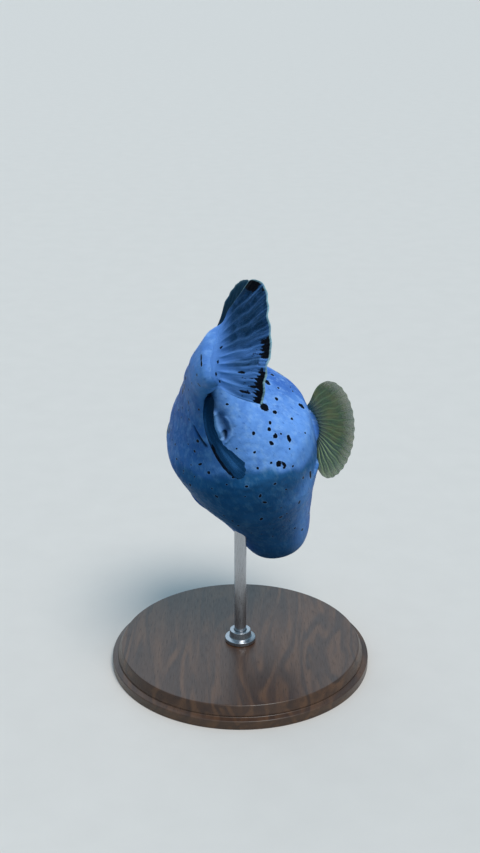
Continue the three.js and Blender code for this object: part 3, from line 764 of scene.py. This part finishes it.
# ---- fins ----
def blade(node, surface, thick, material, slot, marks, across, along, from_v):
    """A closed fin about its middle surface(u, v): u runs over the rays and v out along them."""
    u, v = over(np.linspace(0, 1, across), lerp(from_v, 1, np.linspace(0, 1, along) ** 0.9))
    step = 0.004
    slope_u = surface(np.minimum(u + step, 1), v) - surface(np.maximum(u - step, 0), v)
    slope_v = surface(u, v + step) - surface(u, v - step)
    # The outer edge is rounded off over its last 1/26 and the sides over 1/90.
    rim = np.minimum(np.minimum((1 - v) * 26, u * 90), (1 - u) * 90)
    half = thick(u, v) / 2 * np.sqrt(np.clip(rim, 0, 1) * 0.92 + 0.08)
    middle, aside = surface(u, v), unit(np.cross(slope_u, slope_v)) * half[..., None]

    def both_faces(front, behind):
        return np.concatenate([front, behind[:, ::-1]], 1).reshape(-1, *front.shape[2:])

    quads, places = grid_quads(across, 2 * along)
    j = np.arange(along - 1)
    mate = 2 * along - 1 - j
    cap = np.stack([j, mate, mate - 1, j + 1], -1)
    caps = np.vstack([cap[:, ::-1], cap + (across - 1) * 2 * along])
    places = np.vstack([places.reshape(-1, 2), np.zeros((len(caps) * 4, 2))])
    attributes = {"ray": np.stack([u, v, 0 * u], -1), **marks(u, v)}
    new_piece(f"{node}_blade", place(both_faces(middle + aside, middle - aside)),
              np.vstack([quads, caps]).tolist(), places, material, slot, [node],
              **{key: both_faces(value, value) for key, value in attributes.items()})


def wave(u, rays):
    """A fold with a crest on each ray."""
    return np.cos(2 * pi * u * (rays - 1))


def ray_ridges(u, v, rays, seed):
    """How near a point is to the crest of a fin ray, 0 to 1. Rays fork twice on their way out."""
    wander = 0.010 * ripple(np.stack([u * 0.35, v], -1), 0.42, seed) * smooth(0.1, 0.6, v)
    phase = 2 * pi * (rays - 1) * (u + wander)
    crest = 0.5 + 0.5 * np.cos(phase)
    for times, start, end, weight in [(2, 0.38, 0.62, 0.55), (4, 0.66, 0.86, 0.45)]:
        share = smooth(start, end, v) * weight
        crest = crest * (1 - share) + (0.5 + 0.5 * np.cos(phase * times)) * share
    return crest ** 1.6


def fin_thickness(fin, ridges, ridge_share=0.7):
    def thick(u, v):
        body = lerp(fin["root"], fin["edge"], np.minimum(1, np.maximum(v, 0) * 1.6) ** 0.7)
        body = body * (1 + ridge_share * smooth(0, 0.25, v) * (ridges(u, v) - 0.5))
        if "seam" not in fin:
            return body
        # The tail fin's root carries on the stalk's oval section and taper.
        oval = (1 - abs(2 * u - 1) ** SQUARENESS) ** (1 / SQUARENESS)
        taper = fin["seam"] * np.exp(-np.maximum(v, 0) / 0.05) + fin["length"] * np.maximum(-v, 0)
        return body * lerp(np.maximum(oval, 0.25), 1, smooth(0, 0.25, v)) + taper * oval
    return thick


def caudal_surface(u, v):
    """The tail fin's middle surface. u runs from its lower ray to its upper one and v out along them."""
    point, back, right, up = frame_at(TAIL_END)
    k = 2 * u - 1
    a = k * CAUDAL["spread"] / 2 - CAUDAL["drop"]
    scallop = 1 - 0.006 * (0.5 - 0.5 * wave(u, CAUDAL["rays"])) * smooth(0.8, 1, v)
    rounding = CAUDAL["round"] * k ** 2 + CAUDAL["corner"] * np.maximum(k, 0) ** 6
    reach = CAUDAL["length"] * (1 - rounding) * v * scallop
    root = k * np.where(k > 0, CAUDAL["top"], CAUDAL["bottom"])
    flare = k * abs(k) * np.where(k > 0, *CAUDAL["flare"]) * np.sin(pi * np.clip(v, 0, 1))
    pleat = CAUDAL["pleat"] * np.maximum(v, 0) * (1 - 0.6 * smooth(0.6, 1, v))
    fold = pleat * wave(u, CAUDAL["rays"])
    fold = fold + 0.6 * MM * np.sin(2 * pi * (2.6 * u + 0.15)) * smooth(0.25, 1, v)
    fold = fold + 0.2 * MM * np.sin(2 * pi * (6.3 * u + 0.9 * v)) * smooth(0.55, 1, v)
    twist = lerp(*CAUDAL["twist"], u) * np.maximum(v, 0) ** 2
    return (point + back * (CAUDAL["gap"] + reach * np.cos(a))[..., None]
            + up * (root + flare + reach * np.sin(a))[..., None] + right * (twist + fold)[..., None])


def fin_finish(name, *colours):
    """Rays on a darker membrane that is skin-coloured at its root, with black blotches and a light rim."""
    f = Finish(name, Specular_IOR_Level=0.02)
    root, membrane, ray, edge = (srgb(*colour) for colour in colours)
    lie = f.place("ray", (1, 0.12, 1))
    fibre = f.range(f.noise(lie, 240, 4, 0.62), 0.35, 0.7)
    cloud = f.noise(f.place("ray", (1, 0.4, 1)), 16, 5, 0.65)
    colour = f.mix(f.times(f.attribute("deep"), f.range(cloud, 0.3, 0.6, 0.82, 1.0)), root, membrane)
    colour = f.mix(f.times(f.attribute("ridge"), f.range(fibre, 0, 1, 0.35, 1.0)), colour, ray)
    colour = f.mix(f.times(fibre, 0.07), colour, srgb(90, 140, 210))
    ragged = f.math("MULTIPLY_ADD", f.noise(f.place("ray", (1, 0.3, 1)), 30, 5, 0.7), 2.0, -1.0)
    ink = f.range(f.math("ADD", f.attribute("ink"), ragged), 0.4, 0.62)
    colour = f.mix(ink, colour, INK)
    colour = f.mix(f.times(f.attribute("rim"), f.range(cloud, 0.35, 0.6, 0.6, 1.0)), colour, edge)
    f.set(Base_Color=colour, Roughness=f.range(fibre, 0, 1, 0.56, 0.7), Normal=f.bump(fibre, 0.0003, 0.6))
    return f.owner


def blot(u, v, at, size):
    """A soft-edged blot at a place (u, v)."""
    return bell(u - at[0], size[0]) * bell(v - at[1], size[1])


# Dark dots and streaks on the tail fin: the place (u, v), then half width and half length.
CAUDAL_BLOTS = [
    ((0.83, 0.98), (0.018, 0.05)), ((0.58, 0.085), (0.024, 0.026)), ((0.08, 0.11), (0.022, 0.026)),
    ((0.24, 0.54), (0.016, 0.09)), ((0.37, 0.055), (0.034, 0.016)), ((0.17, 0.035), (0.04, 0.016)),
    ((0.07, 0.66), (0.013, 0.13)), ((0.13, 0.78), (0.012, 0.1)),
]


def caudal_fin():
    def ridges(u, v):
        return ray_ridges(u, v, CAUDAL["rays"], 21)

    def marks(u, v):
        crest = ridges(u, v) * smooth(0.04, 0.25, v)
        valley = (1 - crest) ** 1.4
        upper = smooth(0.34, 0.62, u)
        patch = smooth(0.27, 0.30, u) * smooth(0.38, 0.35, u) * smooth(0.15, 0.24, v) * smooth(0.87, 0.80, v)
        streak = smooth(0.52, 0.46, u) * smooth(0.25, 0.75, v) * valley
        deep = smooth(lerp(0.06, 0.0, upper), lerp(0.5, 0.34, upper), v)
        deep = deep * np.maximum(lerp(0.06 + 0.52 * valley, 1.0, upper), patch)
        corner = smooth(0.865, 0.90, u) * smooth(0.64, 0.84, v)
        middle = smooth(0.28, 0.38, u) * smooth(0.54, 0.44, u)
        middle = middle * smooth(lerp(0.78, 0.7, valley), lerp(1.0, 0.86, valley), v)
        lower = smooth(0.33, 0.20, u) * smooth(lerp(0.84, 0.72, valley), lerp(0.98, 0.88, valley), v)
        blots = [blot(u, v, *b) for b in CAUDAL_BLOTS]
        rim = np.maximum(smooth(0.972, 0.986, v), smooth(0.984, 0.994, u) * smooth(0.1, 0.3, v))
        pale_ray = bell(u - 0.87, 0.01) * smooth(0.45, 0.75, v)
        ridge = np.maximum(crest * lerp(0.75, 0.26, upper), 0.9 * pale_ray)
        return {"ridge": ridge, "deep": deep, "rim": rim,
                "ink": np.max([corner, middle, lower, *blots, 0.42 * streak], axis=0)}

    finish = fin_finish("fin_tail", (114, 163, 240), (4, 50, 78), (124, 172, 240), (172, 204, 212))
    blade("caudal_fin", caudal_surface, fin_thickness(CAUDAL, ridges), finish, "fin", marks, across=380,
          along=170, from_v=-0.12)


def median_surface(fin):
    """The middle surface(u, v) of a dorsal or anal fin."""
    _, back, right, up = frame_at(sum(fin["t"]) / 2)

    def surface(u, v):
        u = 1 - (1 - u) * (1 - fin["hollow"] * smooth(0.75, 0.1, v))
        lean = fin["lean"] + (u - 0.5) * fin["open"]
        swell = (0.72 + 0.28 * np.sin(pi * np.minimum(1, u * 0.85 + 0.12))) * (1 - 0.08 * (2 * u - 1) ** 6)
        reach = MEDIAN["hump"] * 0.5 + fin["length"] * swell * v
        sway = lerp(*fin["sway"], v) + fin["twist"] * (0.5 - u)
        pleat = MEDIAN["pleat"] * np.maximum(v, 0) * wave(u, MEDIAN["rays"])
        root = body_point(lerp(*fin["t"], u), 0 if fin["side"] > 0 else pi)
        return (root + up * (fin["side"] * reach * np.cos(lean) * np.cos(sway))[..., None]
                + back * (reach * np.sin(lean))[..., None]
                + right * (reach * np.sin(sway) + pleat)[..., None])
    return surface


def median_fin(key, fin, finish):
    def ridges(u, v):
        return ray_ridges(u, v, MEDIAN["rays"], 31 + fin["side"])

    def marks(u, v):
        crest = ridges(u, v) * smooth(0.1, 0.4, v)
        below = fin["side"] < 0
        streak = bell(u - 0.33 + 0.1 * v, 0.1) * smooth(0.4, 0.6, v) * smooth(0.95, 0.8, v)
        border = smooth(0.4, 0.75, u) * smooth(0.72, 0.97, v) * 0.95 + smooth(0.93, 1, v) * 0.25
        return {"ridge": crest * 0.25 + below * 0.8 * streak, "deep": smooth(-0.05, 0.25, v),
                "ink": below * border, "rim": smooth(0.97, 0.99, v) * 0.3}

    thick = fin_thickness(MEDIAN, ridges, 0.4)
    blade(f"{key}_fin", median_surface(fin), thick, finish, "fin", marks, across=220, along=90, from_v=-0.14)


def clear_finish():
    """A glassy olive membrane between paler rays, dark and fleshy at its root."""
    f = Finish("fin_clear", Specular_IOR_Level=0.25, Roughness=0.4)
    lie = f.place("ray", (1, 0.1, 1))
    fibre = f.range(f.noise(lie, 240, 3, 0.6), 0.35, 0.7)
    cloud = f.range(f.noise(f.place("ray", (1, 0.5, 1)), 7, 4), 0.35, 0.65)
    colour = f.mix(cloud, srgb(52, 84, 50), srgb(98, 102, 54))
    colour = f.mix(f.attribute("root"), colour, srgb(14, 66, 88))
    colour = f.mix(f.times(fibre, 0.25), colour, srgb(108, 124, 78))
    colour = f.mix(f.attribute("ridge"), colour, srgb(152, 172, 128))
    cover = f.math("MULTIPLY_ADD", f.attribute("ridge"), 0.4, 0.76)
    cover = f.math("ADD", cover, f.times(fibre, 0.12))
    solid = f.math("MAXIMUM", cover, f.attribute("root"), clamp=True)
    f.set(Base_Color=colour, Alpha=f.math("SUBTRACT", solid, f.attribute("sheer")),
          Normal=f.bump(fibre, 0.0003, 0.5))
    return f.owner


def pectoral_surface(fin):
    """The middle surface(u, v) of a side fin."""
    seat, high, reach_out, depth = pectoral_base(fin)

    def surface(u, v):
        k = 2 * u - 1
        a = k * fin["open"] / 2 + fin["drop"] + PECTORAL["curve"] * k ** 5 * np.sin(pi * np.clip(v, 0, 1))
        scallop = 1 - 0.012 * (0.5 - 0.5 * wave(u, PECTORAL["rays"])) * smooth(0.8, 1, v)
        rounding = PECTORAL["round"] * k ** 2 + PECTORAL["corner"] * k ** 6
        reach = PECTORAL["stub"] * 0.55 + PECTORAL["length"] * fin["share"] * (1 - rounding) * v * scallop
        bow = fin["side"] * PECTORAL["bow"] * np.sin(pi * v / 2) * (1 - k * k) + fin["hug"] * v * v
        pleat = PECTORAL["pleat"] * np.maximum(v, 0) * wave(u, PECTORAL["rays"])
        return (seat + high * (-k * (PECTORAL["base"] / 2 - 1.5 * MM) - reach * np.sin(a))[..., None]
                + reach_out * (reach * np.cos(a))[..., None] + depth * (bow + pleat)[..., None])
    return surface


def pectoral_fin(key, fin, finish):
    def ridges(u, v):
        return ray_ridges(u, v, PECTORAL["rays"], 41)

    def thick(u, v):
        body = lerp(PECTORAL["root"], PECTORAL["edge"], np.minimum(1, np.maximum(v, 0) * 1.6) ** 0.6)
        return body * (0.7 + 0.6 * ridges(u, v))

    def marks(u, v):
        low = smooth(0.5, 0.78, u)
        crest = ridges(u, v) ** lerp(1.6, 0.9, low) * smooth(0.05, 0.3, v)
        root = np.maximum(smooth(0.42, 0.0, v), 0.75 * low * (1 - crest) * smooth(1.0, 0.7, v))
        return {"ridge": crest * lerp(0.3, 0.85, low), "root": root, "sheer": 0.3 * smooth(0.6, 1, v)}

    blade(f"pectoral_fin_{key}", pectoral_surface(fin), thick, finish, "clear_fin", marks, across=300,
          along=80, from_v=-0.08)


# ---- eyes ----
def eye_finish():
    f = Finish("eye_glossy", Roughness=0.2, Specular_IOR_Level=0.1, Coat_Weight=0.6, Coat_Roughness=0.04)
    at = f.attribute("gaze", "Vector")
    spokes = f.node("ShaderNodeCombineXYZ", inputs={0: f.attribute("turn"), 1: 0.0, 2: 0.0})
    fibre = f.noise(spokes, 9, 4, 0.7)
    mottle = f.noise(at, 5, 4, 0.6)
    from_axis = f.attribute("off_axis")
    radius = f.math("ADD", from_axis, f.math("MULTIPLY_ADD", mottle, 0.06, -0.03))
    iris = f.mix(f.range(fibre, 0.35, 0.65), srgb(52, 36, 18), srgb(150, 108, 44))
    iris = f.mix(f.range(mottle, 0.45, 0.65), iris, srgb(26, 34, 48))
    ring = f.times(f.range(radius, 0.40, 0.43), f.range(radius, 0.50, 0.45))
    iris = f.mix(ring, iris, srgb(214, 172, 84))
    colour = f.mix(f.range(radius, 0.385, 0.405), srgb(3, 4, 8), iris)
    colour = f.mix(f.range(radius, 0.70, 0.82), colour, srgb(14, 20, 40))
    f.set(Base_Color=colour)
    return f.owner


def eye(key, side, finish):
    centre, out, _, across = eye_axes(side)
    along = np.cross(across, out)
    tip, turn = over(np.linspace(0.004, pi - 0.004, 72), once_round(128))
    bulge = 1 - 0.02 * bell(tip - 0.95, 0.18)     # the cornea's edge is slightly waisted
    x, y, z = np.sin(tip) * np.cos(turn) * bulge, np.sin(tip) * np.sin(turn) * bulge, np.cos(tip) * bulge
    grid = centre + EYE["radius"] * (across * x[..., None] + along * y[..., None] + out * z[..., None])
    grid_piece(f"eye_{key}_ball", place(grid), finish, "eye", [f"eye_{key}"], gaze=np.stack([x, y, z], -1),
               off_axis=np.sin(np.minimum(tip, pi / 2)), turn=turn)


# ---- beak ----
BEAK = dict(half_width=4.9 * MM, tall=3.0 * MM, front=2.85 * MM, back=-2.0 * MM, seam=0.12 * MM)


def beak_finish():
    f = Finish("beak_ivory", Specular_IOR_Level=0.55)
    at = f.place("tooth")
    bands = f.noise(f.place("tooth", (3.0, 0.5, 1)), 900, 3)
    colour = f.mix(f.range(bands, 0.35, 0.65), srgb(226, 216, 190), srgb(240, 236, 222))
    gum = f.range(f.attribute("gum"), 0.45, 0.95)
    colour = f.mix(f.times(gum, 0.7), colour, srgb(150, 124, 96))
    colour = f.mix(f.times(f.attribute("suture"), 0.75), colour, srgb(104, 84, 62))
    f.set(Base_Color=colour, Roughness=f.range(f.noise(at, 1500, 2), 0.3, 0.7, 0.2, 0.34),
          Normal=f.bump(bands, 0.0001, 0.4))
    return f.owner


def beak_plate(name, side, finish):
    """Half of the beak: a curved plate that is highest in the middle and comes to a cutting edge."""
    point, back, right, up = frame_at(0.0)
    x, ring = over(np.linspace(-1, 1, 61), once_round(48))
    depth = (BEAK["front"] - BEAK["back"]) / 2
    tall = BEAK["tall"] * np.sqrt(np.maximum(1 - 0.92 * x ** 2, 0.05))
    low = BEAK["seam"] + 0.25 * MM * x ** 2
    # A cross-section that is round at the gum and narrows towards the edge.
    up_share = 0.5 - 0.5 * np.cos(ring)
    thick = np.sin(ring) * (0.30 + 0.70 * up_share ** 0.7)
    forward = (BEAK["front"] + BEAK["back"]) / 2 + depth * thick - 2.4 * MM * x ** 4
    forward = forward - 0.22 * MM * bell(x, 0.035) * (thick > 0)
    height = low + (tall - low) * up_share
    across = BEAK["half_width"] * np.sin(x * pi / 2 * 0.98)
    grid = (point + right * (side * across)[..., None] + up * (side * height)[..., None]
            - back * forward[..., None])
    grid_piece(f"{name}_plate", place(grid), finish, "beak", [name], gum=up_share,
               tooth=np.stack([across, height, forward], -1), suture=bell(x, 0.03))


# ---- the stand ----
def spun(profile, sides):
    """A ring of points about Z for each (radius, z) of a profile."""
    r, z = np.transpose(profile)[..., None]
    a = once_round(sides)
    return np.stack([r * np.cos(a), r * np.sin(a), z + 0 * a], -1)


def turned(node, profile, material, slot, sides):
    """A turned piece about Z, which closes over its first and last rings."""
    grid_piece(f"{node}_form", spun(profile, sides), material, slot, [node])


def turned_ring(node, profile, material, slot, sides):
    """A turned piece about Z with a hole, whose closed profile ends where it starts."""
    points = spun(profile[:-1], sides).transpose(1, 0, 2).reshape(-1, 3)
    quads, places = grid_quads(sides + 1, len(profile) - 1)
    new_piece(f"{node}_form", points, (quads[:, ::-1] % len(points)).tolist(), places[:, ::-1].reshape(-1, 2),
              material, slot, [node])


def rounded(corners, bevel, steps=5):
    """An outline's corner points, each but the first and last rounded, with a point close by on each side."""
    p = np.asarray(corners, float)
    out = [p[0]]
    for a, b, c in zip(p, p[1:], p[2:]):
        before, after = unit(a - b) * bevel, unit(c - b) * bevel
        out.append(b + 1.6 * before)
        for s in np.linspace(0, 1, steps):
            out.append(lerp(lerp(b + before, b, s), lerp(b, b + after, s), s))
        out.append(b + 1.6 * after)
    return np.vstack([*out, p[-1]])


def wood_finish():
    f = Finish("wood_walnut", Specular_IOR_Level=0.45, Coat_Weight=0.25, Coat_Roughness=0.25)
    grain = f.place(stretch=(1, 0.09, 1))
    rings = f.noise(f.place(stretch=(1, 0.16, 1)), 46, 2, 0.5, 0.6)
    bands = f.math("SINE", f.times(rings, 46.0))
    pores = f.noise(grain, 1500, 3, 0.6)
    colour = f.mix(f.range(bands, -1, 1), srgb(58, 37, 24), srgb(92, 61, 38))
    colour = f.mix(f.range(f.noise(grain, 200, 4), 0.3, 0.7), colour, srgb(70, 45, 28))
    colour = f.mix(f.range(pores, 0.58, 0.7, 0, 0.65), colour, srgb(30, 18, 12))
    f.set(Base_Color=colour, Roughness=f.range(pores, 0.3, 0.7, 0.34, 0.48),
          Normal=f.bump(pores, 0.00015, 0.35))
    return f.owner


def steel_finish():
    f = Finish("steel_satin", Metallic=1.0)
    scratch = f.noise(f.place(stretch=(1, 1, 0.04)), 5200, 3, 0.6)
    colour = f.mix(f.range(scratch, 0.3, 0.7), srgb(164, 167, 171), srgb(190, 192, 196))
    f.set(Base_Color=colour, Roughness=f.range(scratch, 0.3, 0.7, 0.26, 0.34),
          Normal=f.bump(scratch, 0.00002, 0.3))
    return f.owner


def stand():
    steel, top = steel_finish(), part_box("stand_rod")[1].z
    rod = [(ROD_CORE, ROD_BOTTOM), (ROD_RADIUS, ROD_BOTTOM), (ROD_RADIUS, top), (ROD_CORE, top)]
    turned("stand_base", rounded(np.array(BASE_OUTLINE) * MM, 0.45 * MM), wood_finish(), "base", 192)
    turned("stand_rod", rounded(rod, 0.3 * MM), steel, "steel", 64)
    turned_ring("stand_collar", rounded(np.array(COLLAR_OUTLINE) * MM, 0.25 * MM, 4), steel, "steel", 96)


skin()
caudal_fin()
for key, *colours in (("dorsal", (52, 92, 140), (30, 62, 78), (84, 124, 148), (110, 136, 140)),
                      ("anal", (5, 36, 60), (5, 48, 80), (60, 116, 170), (20, 60, 90))):
    median_fin(key, MEDIAN_FINS[key], fin_finish(f"fin_{key}", *colours))
side_finish, glossy, ivory = clear_finish(), eye_finish(), beak_finish()
for key, fin in PECTORAL_SET.items():
    pectoral_fin(key, fin, side_finish)
for key, side in SIDES.items():
    eye(key, side, glossy)
for key, side in (("beak_upper", 1), ("beak_lower", -1)):
    beak_plate(key, side, ivory)
stand()


# ---- the studio ----
def floor():
    f = Finish("studio_floor", Specular_IOR_Level=0.1)
    grain = f.noise(f.place(), 40, 3)
    f.set(Base_Color=f.mix(grain, srgb(212, 203, 195), srgb(218, 209, 201)),
          Roughness=f.range(grain, 0, 1, 0.75, 0.85))
    reach = 12.0
    corners = [(-reach, -reach, 0), (reach, -reach, 0), (reach, reach, 0), (-reach, reach, 0)]
    mesh = bpy.data.meshes.new("floor")
    mesh.from_pydata(corners, [], [(0, 1, 2, 3)])
    mesh.materials.append(f.owner)
    obj = add_object("floor", mesh)
    obj.visible_diffuse = False
    obj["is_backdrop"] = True


def sun(name, azimuth, elevation, energy, colour, angle):
    """A sun that shines on the fish from an azimuth, from -Y towards +X, and an elevation, in degrees."""
    light = bpy.data.lights.new(name, "SUN")
    light.energy, light.color, light.angle = energy, colour, angle
    a, e = radians(azimuth), radians(elevation)
    toward = Vector((sin(a) * cos(e), -cos(a) * cos(e), sin(e)))
    obj = add_object(name, light)
    obj.location = Vector(FISH_AT) + toward
    obj.rotation_euler = toward.to_track_quat("Z", "Y").to_euler()


def studio():
    floor()
    sun("light_key", 26, 58, 2.28, (1.0, 0.99, 0.97), radians(24))
    sun("light_fill", 200, 30, 0.5, (0.85, 0.93, 1.0), radians(60))
    sky = Nodes(bpy.data.worlds.new("studio"), "Background")
    height = sky.node("ShaderNodeSeparateXYZ", "Z", {0: sky.node("ShaderNodeTexCoord", "Generated")})
    height = sky.node("ShaderNodeMapRange", inputs={"Value": height, "From Min": -1})
    colour = sky.node("ShaderNodeValToRGB", inputs={0: height})
    low, high = colour.node.color_ramp.elements
    low.position, low.color = 0.25, (0.08, 0.21, 0.23, 1)
    high.position, high.color = 0.8, (0.38, 0.64, 0.86, 1)
    sky.set(Color=colour, Strength=0.68)
    bpy.context.scene.world = sky.owner
    bpy.context.scene.view_settings.view_transform = "Standard"


def camera():
    """The photo's view: from ahead of the fish and above, with the fish a little off the picture's middle."""
    away, above, lift, swing = 734 * MM, radians(22), radians(0.87), radians(0.24)
    data = bpy.data.cameras.new("camera")
    data.sensor_fit = "VERTICAL"
    data.angle = radians(36)
    obj = add_object("camera", data)
    obj.location = Vector(FISH_AT) + Vector((0, -away * cos(above), away * sin(above)))
    obj.rotation_euler = (pi / 2 - above + lift, 0, swing)
    bpy.context.scene.camera = obj


studio()
camera()


def corners(box):
    return [[float(x) for x in corner] for corner in box]


{"cad": corners(cad_box), "visual": corners(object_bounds())}
